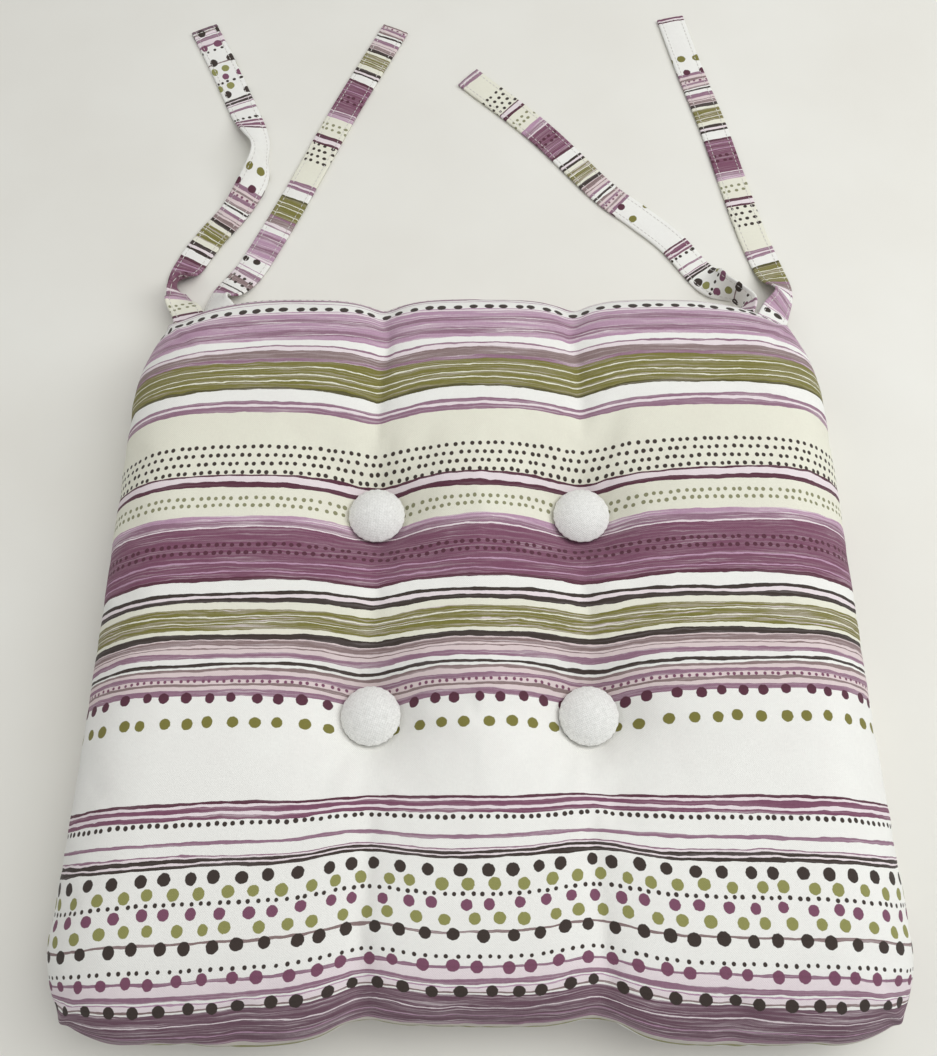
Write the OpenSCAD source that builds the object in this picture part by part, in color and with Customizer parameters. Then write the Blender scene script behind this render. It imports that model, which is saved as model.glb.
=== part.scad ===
// Tie-on chair seat pad, tufted with four covered buttons.
// Millimetres. The origin is the middle of the flat underside, +Y points to the edge with
// the ties and +Z up through the crown.

/* [Pad] */
// Width across the front, where the pad is widest
front_w = 400; // [320:2:480]
// Width across the back, before its corners round off
back_w = 378; // [300:2:460]
// Depth from the front edge to the back edge
pad_d = 382; // [310:2:470]
// Height of the crown above the underside
crown_h = 60; // [48:1:76]
// Height of the joining seam above the underside
seam_h = 22; // [18:1:26]
// Height of the crown above the shoulder, where the steep edge turns into the crown
shoulder_drop = 11; // [5:1:20]
// Radius of the two front corners
front_r = 44; // [28:2:56]
// Radius of the two back corners
back_r = 74; // [44:2:80]
// How far the two sides pull in between their corners
side_pull = 2; // [0:1:8]
// How far the front edge puckers in beside each row of buttons
front_pucker = 5; // [0:1:14]
// How far the front edge is drawn in between its two corners
front_tuck = 11; // [0:1:14]
// How far the back edge puckers in beside each row of buttons
back_pucker = 6; // [0:1:12]

/* [Cloth] */
// Thickness of the cover cloth
cloth_t = 0.8; // [0.4:0.1:1.2]
// Width of the two panels' edges turned in behind the seam
allowance_w = 10; // [6:1:14]
// Thickness of the sewing thread
thread_t = 0.5; // [0.3:0.1:0.8]
// Pitch of the hand stitches that close the seam
closing_pitch = 7; // [5:1:12]
// Number of hand stitches that close the seam
closing_count = 9; // [5:1:11]

/* [Tufts] */
// Distance between the two columns of buttons
tuft_x = 106; // [80:2:130]
// Distance between the two rows of buttons
tuft_y = 104; // [80:2:130]
// How far the middle of the four buttons lies behind the pad's middle
tuft_shift = 7; // [0:1:20]
// How far the rim of a button sits below the crown
button_sink = 19.5; // [14:0.5:22]
// Thickness of the tufting twine
twine_t = 1.2; // [0.8:0.1:1.6]
// Depth of the hollow in the underside at each tuft
under_sink = 7; // [5:0.5:9]

/* [Buttons] */
// Diameter of a covered button
button_d = 29; // [22:1:36]
// Height of a button's dome above its rim
dome_h = 6; // [4:0.5:9]
// Height of a button's straight rim
rim_h = 1.2; // [0.8:0.1:2]
// Thickness of the cloth over a button
button_cloth_t = 0.6; // [0.3:0.1:0.9]
// Thickness of a button's aluminium shell and back plate
plate_t = 0.5; // [0.3:0.1:0.8]
// Thickness of the shank wire
wire_t = 1.2; // [0.8:0.1:1.6]
// Diameter of a backing button
backing_d = 18; // [12:1:22]
// Thickness of a backing button
backing_t = 2.4; // [1.6:0.2:3]

/* [Ties] */
// Width of a tie
tie_w = 18; // [12:0.5:24]
// Thickness of a tie, which is folded cloth four layers deep
tie_t = 2; // [1.2:0.1:2.6]
// Distance from the pad's back edge to the fold where a tie turns down
tie_reach = 12; // [11:1:20]
// Distance from the outer ties' middle to the pad's nominal back corner
tie_inset = 24; // [20:1:34]
// Gap between the two ties of one corner
tie_gap = 2; // [1:0.5:6]
// Length of a tie caught inside the seam
tie_caught = 14; // [10:1:18]
// Distance from a tie's edge to its topstitching
stitch_inset = 2.5; // [1.5:0.5:4]

/* [Hidden] */
TUFTS = [1:4];
TIE_NAMES = ["left_outer", "left_inner", "right_inner", "right_outer"];

// A gap that keeps two neighbouring pieces just apart
gap = 0.3;
// A margin for cuts that run past the piece they cut
past = 1;
round_fn = 64;

// Pad outline and section
edge_in = 30;
foot_in = 16;
shoulder_steps = 4;
foot_steps = 3;
crown_rings = [0.78, 0.54, 0.3];
corner_steps = 6;
side_steps = 6;
end_steps = 20;
pucker_w = 16;
tuck_past = 14;
tuck_power = 8;
least_r = 2;
shoulder_h = crown_h - shoulder_drop;

// Tufts
button_r = button_d / 2;
rim_z = crown_h - button_sink;
hollow_floor_r = 4.5;
hollow_floor_z = (rim_z + seam_h) / 2;
hollow_in = 2.5;
hollow_under = 3.5;
hollow_out = 5.5;
hollow_over = 4.5;
hollow_mouth = 16.5;
lining_lean = 0.6;
under_floor_r = backing_d / 2 + 1;
under_flare = 8;
twine_slack = 0.15;
strand_r = wire_t / 2 + twine_t / 2 + twine_slack;
channel_slack = 0.5;
channel_r = strand_r + twine_t / 2 + channel_slack;
backing_gap = 0.2;
backing_top = under_sink - backing_gap;
knot_r = 1.5;
knot_z = backing_top - backing_t - gap - knot_r;

// Buttons
shank_r = 2.8;
shank_drop = 1;
shank_foot = 2.2;
hem_w = 4;
lip_w = 1.6;
skin_gap = 0.1;
foot_gap = 0.05;
shell_in = button_cloth_t + skin_gap;
back_plate_r = button_r - shell_in - lip_w - skin_gap;
feet_z = shell_in + plate_t + wire_t / 2 + foot_gap;

// Ties
fold_y = pad_d / 2 + tie_reach;
fold_gap = 0.9;
lay_gap = 0.2;
lay_z = tie_t / 2 + lay_gap;
route_steps = 4;
stitch_lift = 0.2;
stitch_from = 8;
stitch_short = 1;
bend_z = seam_h - 0.7;
drop_z = seam_h - 5;
low_z = seam_h - 14;
// Each tail's middle line from its fold: sideways, backwards, and height above the underside
LEFT_OUTER = [[0, 0, seam_h], [0, 3, bend_z], [-1, 7, drop_z], [-5, 14, low_z], [-9, 24, lay_z],
    [-9, 38, lay_z], [4, 56, lay_z], [18, 78, lay_z], [26, 100, lay_z], [24, 124, lay_z], [12, 154, lay_z],
    [-1, 184, lay_z], [-15, 215, lay_z]];
LEFT_INNER = [[0, 0, seam_h], [0, 3, bend_z], [1, 7, drop_z], [4, 14, low_z], [9, 24, lay_z],
    [19, 46, lay_z], [34, 87, lay_z], [60, 148, lay_z], [91, 215, lay_z]];
RIGHT_INNER = [[0, 0, seam_h], [0, 3, bend_z], [-1, 7, drop_z], [-5, 14, low_z], [-12, 26, lay_z],
    [-28, 51, lay_z], [-67, 89, lay_z], [-105, 133, lay_z], [-149, 174, lay_z]];
RIGHT_OUTER = [[0, 0, seam_h], [0, 3, bend_z], [2, 7, drop_z], [6, 14, low_z], [11, 24, lay_z],
    [8, 40, lay_z], [-2, 77, lay_z], [-13, 134, lay_z], [-26, 182, lay_z], [-36, 227, lay_z]];
ROUTES = [LEFT_OUTER, LEFT_INNER, RIGHT_INNER, RIGHT_OUTER];
outer_x = back_w / 2 - tie_inset;
inner_x = outer_x - tie_w - tie_gap;
TIE_X = [-outer_x, -inner_x, inner_x, outer_x];

print_white = "#f1ece6";
print_plum = "#8a5a80";
button_white = "#f4f2ef";

// ---- shared shapes ----

// How far an edge is pulled in at x by the puckers beside the two columns of tufts
function pucker(x, depth) = depth * exp(-pow((abs(x) - tuft_x / 2) / pucker_w, 2));

// How far the front edge is drawn in at x between its two corners
function tuck(x) = front_tuck / (1 + pow(x / (tuft_x / 2 + tuck_past), tuck_power));

// Half the pad's width at y, tapering in a straight line from front to back
function half_width(y) = (front_w + back_w) / 4 - (front_w - back_w) / 2 * y / pad_d;

// Points along an arc about c, from one angle to another
function arc(c, r, from, to, n) =
    [for (i = [0:n]) let (a = from + (to - from) * i / n) [c[0] + r * cos(a), c[1] + r * sin(a)]];

// Middle of a corner's arc, at the front (-1) or the back (1) of the right side
function corner_mid(end) =
    let (r = end < 0 ? front_r : back_r, y = end * (pad_d / 2 - r)) [half_width(end * pad_d / 2) - r, y];

// The right half of the outline, shrunk by an even inset, from front middle to back middle
function half_outline(inset) =
    let (
        front = corner_mid(-1),
        back = corner_mid(1),
        fr = max(least_r, front_r - inset),
        br = max(least_r, back_r - inset),
        y0 = -pad_d / 2 + inset,
        y1 = pad_d / 2 - inset,
        half_n = end_steps / 2
    )
    concat(
        [for (i = [0:half_n - 1]) let (x = front[0] * i / half_n)
            [x, y0 + tuck(x) + pucker(x, front_pucker)]],
        arc([front[0], y0 + fr], fr, -90, 0, corner_steps),
        [for (i = [1:side_steps - 1])
            let (t = i / side_steps, p = [front[0] + fr, y0 + fr], q = [back[0] + br, y1 - br])
            [p[0] + (q[0] - p[0]) * t - side_pull * sin(180 * t), p[1] + (q[1] - p[1]) * t]],
        arc([back[0], y1 - br], br, 0, 90, corner_steps),
        [for (i = [1:half_n]) let (x = back[0] * (1 - i / half_n)) [x, y1 - pucker(x, back_pucker)]]
    );

// The whole outline, anticlockwise from the front middle
function outline(inset) =
    let (right = half_outline(inset), n = len(right))
    concat(right, [for (i = [n - 2:-1:1]) [-right[i][0], right[i][1]]]);

// Where the outline crosses a line x at the back
function back_edge_y(x) = lookup(abs(x), [for (p = half_outline(0)) if (p[1] >= corner_mid(1)[1]) p]);

// A closed form from a stack of level rings with equally many points, top ring first, closed by
// fans of triangles to a point above the top ring and one below the last
module ring_stack(rings, top_point, bottom_point) {
    n = len(rings[0]);
    m = len(rings);
    last = (m - 1) * n;
    sides = [for (j = [0:m - 2]) for (i = [0:n - 1]) let (k = (i + 1) % n)
        each [[j * n + i, j * n + k, (j + 1) * n + k], [j * n + i, (j + 1) * n + k, (j + 1) * n + i]]];
    top_fan = [for (i = [0:n - 1]) [m * n, (i + 1) % n, i]];
    bottom_fan = [for (i = [0:n - 1]) [m * n + 1, last + i, last + (i + 1) % n]];
    polyhedron(
        points = concat([for (ring = rings) each ring], [top_point, bottom_point]),
        faces = concat(top_fan, sides, bottom_fan),
        convexity = 6
    );
}

// The pillow form, crowned above and flat below, shrunk evenly all round
module pillow(inset) {
    top = crown_h - inset;
    shoulder = shoulder_h - inset;
    foot = inset;
    crown = [for (k = crown_rings) [for (p = outline(edge_in + inset)) [p[0] * k, p[1] * k,
        shoulder + (top - shoulder) * (1 - pow(k, 2))]]];
    upper = [for (j = [shoulder_steps:-1:0]) let (a = 90 * j / shoulder_steps)
        [for (p = outline(inset + edge_in * (1 - cos(a))))
            [p[0], p[1], seam_h + (shoulder - seam_h) * sin(a)]]];
    lower = [for (j = [1:foot_steps]) let (a = 90 * j / foot_steps)
        [for (p = outline(inset + foot_in * (1 - cos(a)))) [p[0], p[1], seam_h - (seam_h - foot) * sin(a)]]];
    ring_stack(
        concat([for (j = [len(crown) - 1:-1:0]) crown[j]], upper, lower),
        [0, 0, top],
        [0, 0, foot]
    );
}

module at_tuft(i) {
    side = i % 2 == 1 ? -1 : 1;
    row = i <= 2 ? 1 : -1;
    translate([side * tuft_x / 2, tuft_shift + row * tuft_y / 2, 0]) children();
}

// The funnels that the tufts pull into the crown and the underside, grown by a wall
module tuft_hollows(wall) {
    lean = wall * lining_lean;
    for (i = TUFTS) at_tuft(i) {
        rotate_extrude($fn = round_fn) polygon([
            [0, hollow_floor_z - wall],
            [hollow_floor_r + lean, hollow_floor_z - wall],
            [button_r - hollow_in + lean, rim_z - hollow_under - wall],
            [button_r + hollow_out + lean, rim_z + hollow_over - wall],
            [button_r + hollow_mouth + lean, crown_h + past],
            [0, crown_h + past]
        ]);
        rotate_extrude($fn = round_fn) polygon([
            [0, -past],
            [under_floor_r + under_flare + wall, -past],
            [under_floor_r + wall, under_sink + wall],
            [0, under_sink + wall]
        ]);
    }
}

module needle_channels() {
    for (i = TUFTS) at_tuft(i) cylinder(r = channel_r, h = crown_h, $fn = round_fn);
}

// The slots where the sewn-in tie ends pass through the seam
module tie_slots() {
    for (k = [0:3]) translate([TIE_X[k], back_edge_y(TIE_X[k]) - tie_caught - gap, seam_h])
        translate([-tie_w / 2 - gap, 0, -tie_t / 2 - gap])
            cube([tie_w + 2 * gap, 2 * tie_caught + tie_reach, tie_t + 2 * gap]);
}

module cover_skin() {
    difference() {
        difference() {
            pillow(0);
            tuft_hollows(0);
        }
        difference() {
            pillow(cloth_t);
            tuft_hollows(cloth_t);
        }
        needle_channels();
        tie_slots();
    }
}

// A block much wider than the pad, between two heights
module slab(low, high) {
    translate([-front_w, -pad_d, low]) cube([2 * front_w, 2 * pad_d, high - low]);
}

// ---- cover, seam and filling ----

// Printed top panel, wrapped over the edges down to the seam
module top_panel() {
    color(print_plum) intersection() {
        cover_skin();
        slab(seam_h, crown_h + past);
    }
}

// Bottom panel, flat where the pad rests
module bottom_panel() {
    color(print_white) intersection() {
        cover_skin();
        slab(-past, seam_h);
    }
}

// A flat ring that follows the seam between two insets
module seam_ring(outer, inner, thick) {
    translate([0, 0, seam_h - thick / 2]) linear_extrude(height = thick) difference() {
        polygon(outline(outer));
        polygon(outline(inner));
    }
}

// The two panels' raw edges, turned in behind the seam
module seam_allowance() {
    first = cloth_t + thread_t + 2 * gap;
    color(print_white) difference() {
        seam_ring(first, first + allowance_w, 2 * cloth_t);
        tie_slots();
    }
}

// The line of machine stitching that joins the panels
module seam_thread() {
    first = cloth_t + gap;
    color(button_white) difference() {
        seam_ring(first, first + thread_t, thread_t);
        tie_slots();
    }
}

// Hand stitches across the part of the back seam where the filling went in
module closing_stitches() {
    run = closing_pitch * (closing_count - 1);
    color(button_white) for (i = [0:closing_count - 1]) {
        x = closing_pitch * i - run / 2;
        translate([x, back_edge_y(x) + gap + thread_t / 2, seam_h - closing_pitch / 4])
            cylinder(d = thread_t, h = closing_pitch / 2, $fn = round_fn / 4);
    }
}

// Fibre filling, with a needle channel and a pulled-in hollow at each tuft
module filling() {
    clear = cloth_t + gap;
    color("white") difference() {
        pillow(clear);
        tuft_hollows(clear);
        needle_channels();
        tie_slots();
        seam_ring(-past, clear + thread_t + allowance_w + 3 * gap, 2 * (cloth_t + gap));
    }
}

// ---- buttons ----

// A button's low dome on its straight rim, shrunk evenly all round
module dome(inset) {
    ball_r = (button_r * button_r + dome_h * dome_h) / (2 * dome_h);
    intersection() {
        translate([0, 0, rim_h + dome_h - ball_r]) sphere(r = ball_r - inset, $fn = round_fn);
        translate([0, 0, inset]) cylinder(r = button_r - inset, h = rim_h + dome_h, $fn = round_fn);
    }
}

// A domed skin with its edge turned in to leave a round opening underneath
module domed_skin(inset, wall, lip) {
    difference() {
        dome(inset);
        dome(inset + wall);
        translate([0, 0, -past])
            cylinder(r = button_r - inset - lip, h = past + inset + 2 * wall, $fn = round_fn);
    }
}

// Plain white cloth, gathered over a button's shell and tucked under its rim
module button_cloth(i) {
    color(button_white) at_tuft(i) translate([0, 0, rim_z]) domed_skin(0, button_cloth_t, hem_w);
}

// Pressed aluminium shell inside a button
module button_shell(i) {
    color("silver") at_tuft(i) translate([0, 0, rim_z]) domed_skin(shell_in, plate_t, lip_w);
}

// Pressed back plate, snapped into the shell over the cloth's edge
module button_back(i) {
    color("silver") at_tuft(i) translate([0, 0, rim_z + shell_in]) difference() {
        cylinder(r = back_plate_r, h = plate_t, $fn = round_fn);
        for (side = [-1, 1]) translate([side * shank_r, 0, -past])
            cylinder(d = wire_t + gap, h = plate_t + 2 * past, $fn = round_fn / 2);
    }
}

// Bent wire shank, its two feet turned out above the back plate
module button_shank(i) {
    color("gray") at_tuft(i) translate([0, 0, rim_z]) {
        translate([0, 0, -shank_drop]) rotate([90, 0, 0]) rotate([0, 0, 180])
            rotate_extrude(angle = 180, $fn = round_fn)
                translate([shank_r, 0]) circle(d = wire_t, $fn = round_fn / 2);
        for (side = [-1, 1]) translate([side * shank_r, 0, 0]) {
            translate([0, 0, -shank_drop]) cylinder(d = wire_t, h = shank_drop + feet_z, $fn = round_fn / 2);
            translate([0, 0, feet_z]) rotate([0, side * 90, 0])
                cylinder(d = wire_t, h = shank_foot, $fn = round_fn / 2);
            translate([0, 0, feet_z]) sphere(d = wire_t, $fn = round_fn / 2);
        }
    }
}

// Waxed twine from the shank, down through the filling, knotted under the backing button
module tuft_twine(i) {
    top_z = rim_z - shank_drop - shank_r;
    color("ivory") at_tuft(i) {
        translate([0, 0, top_z]) rotate([90, 0, 90]) rotate_extrude(angle = 180, $fn = round_fn)
            translate([strand_r, 0]) circle(d = twine_t, $fn = round_fn / 2);
        for (side = [-1, 1]) translate([0, side * strand_r, knot_z])
            cylinder(d = twine_t, h = top_z - knot_z, $fn = round_fn / 2);
        translate([0, 0, knot_z]) sphere(r = knot_r, $fn = round_fn);
    }
}

// Flat two-hole button that spreads the twine's pull on the underside
module backing_button(i) {
    color(button_white) at_tuft(i) translate([0, 0, backing_top - backing_t]) difference() {
        cylinder(d = backing_d, h = backing_t, $fn = round_fn);
        for (side = [-1, 1]) translate([0, side * strand_r, -past])
            cylinder(d = twine_t + gap, h = backing_t + 2 * past, $fn = round_fn / 2);
    }
}

// ---- ties ----

// One point of a smooth curve through a list of points, between points i and i + 1
function between(route, i, t) =
    let (
        n = len(route),
        a = route[max(0, i - 1)],
        b = route[i],
        c = route[min(n - 1, i + 1)],
        d = route[min(n - 1, i + 2)]
    )
    0.5 * (2 * b + (c - a) * t + (2 * a - 5 * b + 4 * c - d) * t * t + (3 * b - a - 3 * c + d) * t * t * t);

function smooth(route) = concat(
    [for (i = [0:len(route) - 2]) for (s = [0:route_steps - 1]) between(route, i, s / route_steps)],
    [route[len(route) - 1]]
);

function unit(v) = v / norm(v);

// A flat strip carried along a smoothed route: side is its middle's offset to the right, low and
// high its two faces' heights over the route, start and stop how many rings to leave out
module strip(route, width, side, low, high, start, stop) {
    line = smooth(route);
    n = len(line);
    rings = [for (i = [start:n - 1 - stop])
        let (
            along = i == 0 ? [0, 1, 0] : unit(line[min(n - 1, i + 1)] - line[i - 1]),
            across = unit(cross(along, [0, 0, 1])),
            up = cross(across, along)
        )
        [for (c = [[-0.5, low], [0.5, low], [0.5, high], [-0.5, high]])
            line[i] + across * (side + c[0] * width) + up * c[1]]];
    m = len(rings);
    polyhedron(
        points = [for (ring = rings) each ring],
        faces = concat(
            [[0, 1, 2, 3]],
            [for (j = [0:m - 2]) for (k = [0:3]) let (l = (k + 1) % 4)
                each [[j * 4 + k, (j + 1) * 4 + k, (j + 1) * 4 + l],
                    [j * 4 + k, (j + 1) * 4 + l, j * 4 + l]]],
            [[for (k = [3:-1:0]) (m - 1) * 4 + k]]
        ),
        convexity = 8
    );
}

// The sewn-in end of a tie, from behind the seam to the fold
module tie_end(k) {
    from_y = back_edge_y(TIE_X[k]) - tie_caught;
    color(print_plum) translate([TIE_X[k] - tie_w / 2, from_y, seam_h - tie_t / 2])
        cube([tie_w, fold_y - tie_t / 2 - fold_gap - from_y, tie_t]);
}

// The free tail of a tie, from the fold to its end
module tie_tail(k) {
    color(print_plum) translate([TIE_X[k], fold_y, 0])
        strip(ROUTES[k], tie_w, 0, -tie_t / 2, tie_t / 2, 0, 0);
}

// The rows of topstitching along a tail's two long edges
module tie_stitching(k) {
    color(button_white) translate([TIE_X[k], fold_y, 0]) for (side = [-1, 1])
        strip(ROUTES[k], thread_t, side * (tie_w / 2 - stitch_inset),
            tie_t / 2 + stitch_lift, tie_t / 2 + stitch_lift + thread_t / 2, stitch_from, stitch_short);
}

top_panel();
bottom_panel();
seam_allowance();
seam_thread();
closing_stitches();
filling();
for (i = TUFTS) {
    button_cloth(i);
    button_shell(i);
    button_back(i);
    button_shank(i);
    tuft_twine(i);
    backing_button(i);
}
for (k = [0:3]) {
    tie_end(k);
    tie_tail(k);
    tie_stitching(k);
}
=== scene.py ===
import math

import bmesh
import bpy
import numpy as np
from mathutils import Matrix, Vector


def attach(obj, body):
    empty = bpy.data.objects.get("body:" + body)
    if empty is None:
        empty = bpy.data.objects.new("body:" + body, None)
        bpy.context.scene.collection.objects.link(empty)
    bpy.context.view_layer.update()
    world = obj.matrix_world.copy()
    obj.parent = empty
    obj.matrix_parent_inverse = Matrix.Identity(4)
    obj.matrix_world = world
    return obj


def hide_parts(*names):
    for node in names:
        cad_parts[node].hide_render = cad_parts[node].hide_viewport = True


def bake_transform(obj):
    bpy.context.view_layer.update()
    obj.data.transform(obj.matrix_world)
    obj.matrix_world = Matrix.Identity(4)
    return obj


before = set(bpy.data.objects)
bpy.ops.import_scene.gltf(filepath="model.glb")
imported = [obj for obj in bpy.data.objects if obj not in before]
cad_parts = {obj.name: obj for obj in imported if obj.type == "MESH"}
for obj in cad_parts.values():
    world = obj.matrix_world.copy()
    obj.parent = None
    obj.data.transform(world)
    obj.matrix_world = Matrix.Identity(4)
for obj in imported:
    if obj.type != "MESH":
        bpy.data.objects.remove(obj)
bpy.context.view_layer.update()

# ---- Table top, camera and light ----
# The pad lies on a plain pale board. Two wide soft lamps hang left and right of it and a
# large one overhead, so its shadows are short and faint.

CAMERA_PLACE, CAMERA_TILT, CAMERA_LENS = (-0.0055, -0.142, 0.575), math.radians(20), 42.26
SENSOR_WIDE, CLIP_NEAR = 36, 0.02
BOARD_DROP, BOARD_HALF, BOARD_SPOTS = 0.0004, 3.0, 9.0
ROOM_COLOUR, ROOM_STRENGTH = (0.93, 0.95, 1.0, 1), 0.37
# Each lamp's place, the point it faces, its side, its watts and its colour
LAMPS = {
    "lamp_over": ((0.4, 0.15, 1.55), (0, 0.05, 0), 1.3, 13.0, (1.0, 0.99, 0.965)),
    "lamp_left": ((-1.3, 0.2, 1.1), (-0.05, 0.05, 0), 0.8, 2.2, (1.0, 0.96, 0.9)),
    "lamp_right": ((1.3, 0.3, 1.1), (0.05, 0.05, 0), 0.8, 9.0, (0.97, 0.985, 1.0)),
}


def nodes_of(name):
    """A new material, its node tree and its Principled shader."""
    material = bpy.data.materials.new(name)
    material.use_nodes = True
    tree = material.node_tree
    return material, tree, tree.nodes["Principled BSDF"]


def put(tree, kind, values=None, **settings):
    """Adds a node, sets its properties, and fills its inputs: each value is a socket to link
    from or a constant."""
    made = tree.nodes.new(kind)
    for key, value in settings.items():
        setattr(made, key, value)
    for key, value in (values or {}).items():
        if isinstance(value, bpy.types.NodeSocket):
            tree.links.new(value, made.inputs[key])
        else:
            made.inputs[key].default_value = value
    return made


def calc(tree, operation, a, b=0.0, c=0.0):
    """One Math node, and its result."""
    return put(tree, "ShaderNodeMath", {0: a, 1: b, 2: c}, operation=operation).outputs[0]


def times(tree, a, b):
    """The product of two numbers."""
    return calc(tree, "MULTIPLY", a, b)


def plus(tree, a, b):
    """The sum of two numbers."""
    return calc(tree, "ADD", a, b)


def minus(tree, a, b):
    """The first number less the second."""
    return calc(tree, "SUBTRACT", a, b)


def vector(tree, x, y, z=0.0):
    """A vector from three numbers."""
    return put(tree, "ShaderNodeCombineXYZ", {0: x, 1: y, 2: z}).outputs[0]


def noise(tree, place, scale, detail=2.0, roughness=0.5):
    """Smooth noise from 0 to 1 at a place."""
    values = {"Vector": place, "Scale": scale, "Detail": detail, "Roughness": roughness}
    return put(tree, "ShaderNodeTexNoise", values).outputs["Fac"]


def spread(tree, value, low, high, to_low, to_high):
    """A value's range moved to another range, and held there."""
    values = {"Value": value, "From Min": low, "From Max": high, "To Min": to_low, "To Max": to_high}
    return put(tree, "ShaderNodeMapRange", values).outputs["Result"]


def blend_colour(tree, share, a, b, kind="MIX"):
    """Two colours mixed by a share."""
    values = {0: share, 6: a, 7: b}
    return put(tree, "ShaderNodeMix", values, data_type="RGBA", blend_type=kind).outputs[2]


def finish_shader(tree, shader, colour, rough, strength, depth, height):
    """Links a shader's colour, its roughness, and a bump of a given strength and depth."""
    bump = put(tree, "ShaderNodeBump", {"Strength": strength, "Distance": depth, "Height": height})
    tree.links.new(colour, shader.inputs["Base Color"])
    tree.links.new(rough, shader.inputs["Roughness"])
    tree.links.new(bump.outputs[0], shader.inputs["Normal"])


def ink(red, green, blue):
    """A colour given as it looks on screen, 0 to 255, turned to linear light."""
    parts = np.array([red, green, blue]) / 255
    linear = np.where(parts <= 0.04045, parts / 12.92, ((parts + 0.055) / 1.055) ** 2.4)
    return (*linear.tolist(), 1.0)


def add_object(name, data):
    """A new object in the scene."""
    made = bpy.data.objects.new(name, data)
    bpy.context.scene.collection.objects.link(made)
    return made


def add_mesh(name, points, faces):
    """A smooth-shaded mesh from points and faces, as an object in the scene."""
    mesh = bpy.data.meshes.new(name)
    mesh.from_pydata(points, [], faces)
    mesh.polygons.foreach_set("use_smooth", np.ones(len(faces), bool))
    return add_object(name, mesh)


def add_lamp(name, place, aim, size, watts, colour):
    """A soft square lamp that faces a point."""
    data = bpy.data.lights.new(name, "AREA")
    data.shape, data.size, data.energy, data.color = "SQUARE", size, watts, colour
    lamp = add_object(name, data)
    lamp.location = place
    towards = Vector(aim) - Vector(place)
    lamp.rotation_euler = towards.to_track_quat("-Z", "Y").to_euler()


camera_data = bpy.data.cameras.new("camera")
camera_data.sensor_fit, camera_data.sensor_width = "HORIZONTAL", SENSOR_WIDE
camera_data.lens, camera_data.clip_start = CAMERA_LENS, CLIP_NEAR
camera = add_object("camera", camera_data)
camera.location, camera.rotation_euler = CAMERA_PLACE, (CAMERA_TILT, 0, 0)
bpy.context.scene.camera = camera

corners = np.array([(-1, -1, 0), (1, -1, 0), (1, 1, 0), (-1, 1, 0)]) * BOARD_HALF - [0, 0, BOARD_DROP]
board = add_mesh("board", corners, [(0, 1, 2, 3)])
board_paint, tree, shader = nodes_of("pale_board")
place = put(tree, "ShaderNodeTexCoord").outputs["Object"]
mottle = spread(tree, noise(tree, place, BOARD_SPOTS, 4.0), 0.3, 0.7, 0.0, 1.0)
colour = blend_colour(tree, mottle, ink(226, 224, 215), ink(231, 230, 222))
tree.links.new(colour, shader.inputs["Base Color"])
tree.links.new(spread(tree, mottle, 0.0, 1.0, 0.55, 0.7), shader.inputs["Roughness"])
board.data.materials.append(board_paint)

world = bpy.data.worlds.new("room")
world.use_nodes = True
background = world.node_tree.nodes["Background"].inputs
background["Color"].default_value, background["Strength"].default_value = ROOM_COLOUR, ROOM_STRENGTH
bpy.context.scene.world = world
bpy.context.scene.view_settings.view_transform = "Standard"
for name, settings in LAMPS.items():
    add_lamp(name, *settings)

# ---- Printed cotton ----
# The cover and the ties are plain-weave cotton, screen printed across its width with
# hand-painted stripes and rows of dots in plum, mauve, olive and charcoal on off-white.
# Places on the cloth are in millimetres: s across it and t along it, from the pad's middle.

MM = 0.001
RAMP_SPAN, THREAD_PITCH = 48.0, 0.52
ROW_SHIFT, SEED_SHIFT, DOT_EDGE = 0.37, 0.613, 0.12
COTTON_BUMP, COTTON_BUMP_DEPTH = 0.7, 0.00016
GROUND, BLUSH, CREAM = ink(240, 240, 234), ink(233, 222, 224), ink(232, 231, 214)
LILAC, MAUVE, PLUM, DEEP = ink(186, 150, 174), ink(150, 115, 134), ink(126, 80, 102), ink(92, 52, 66)
TAUPE, OLIVE, MOSS, CHARCOAL = ink(142, 122, 120), ink(126, 122, 62), ink(146, 146, 88), ink(64, 55, 50)
SAGE, DARK_OLIVE, DUSK = ink(140, 140, 108), ink(88, 84, 48), ink(114, 84, 98)
ROSE, ASH = ink(222, 206, 205), ink(206, 200, 190)
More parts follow.
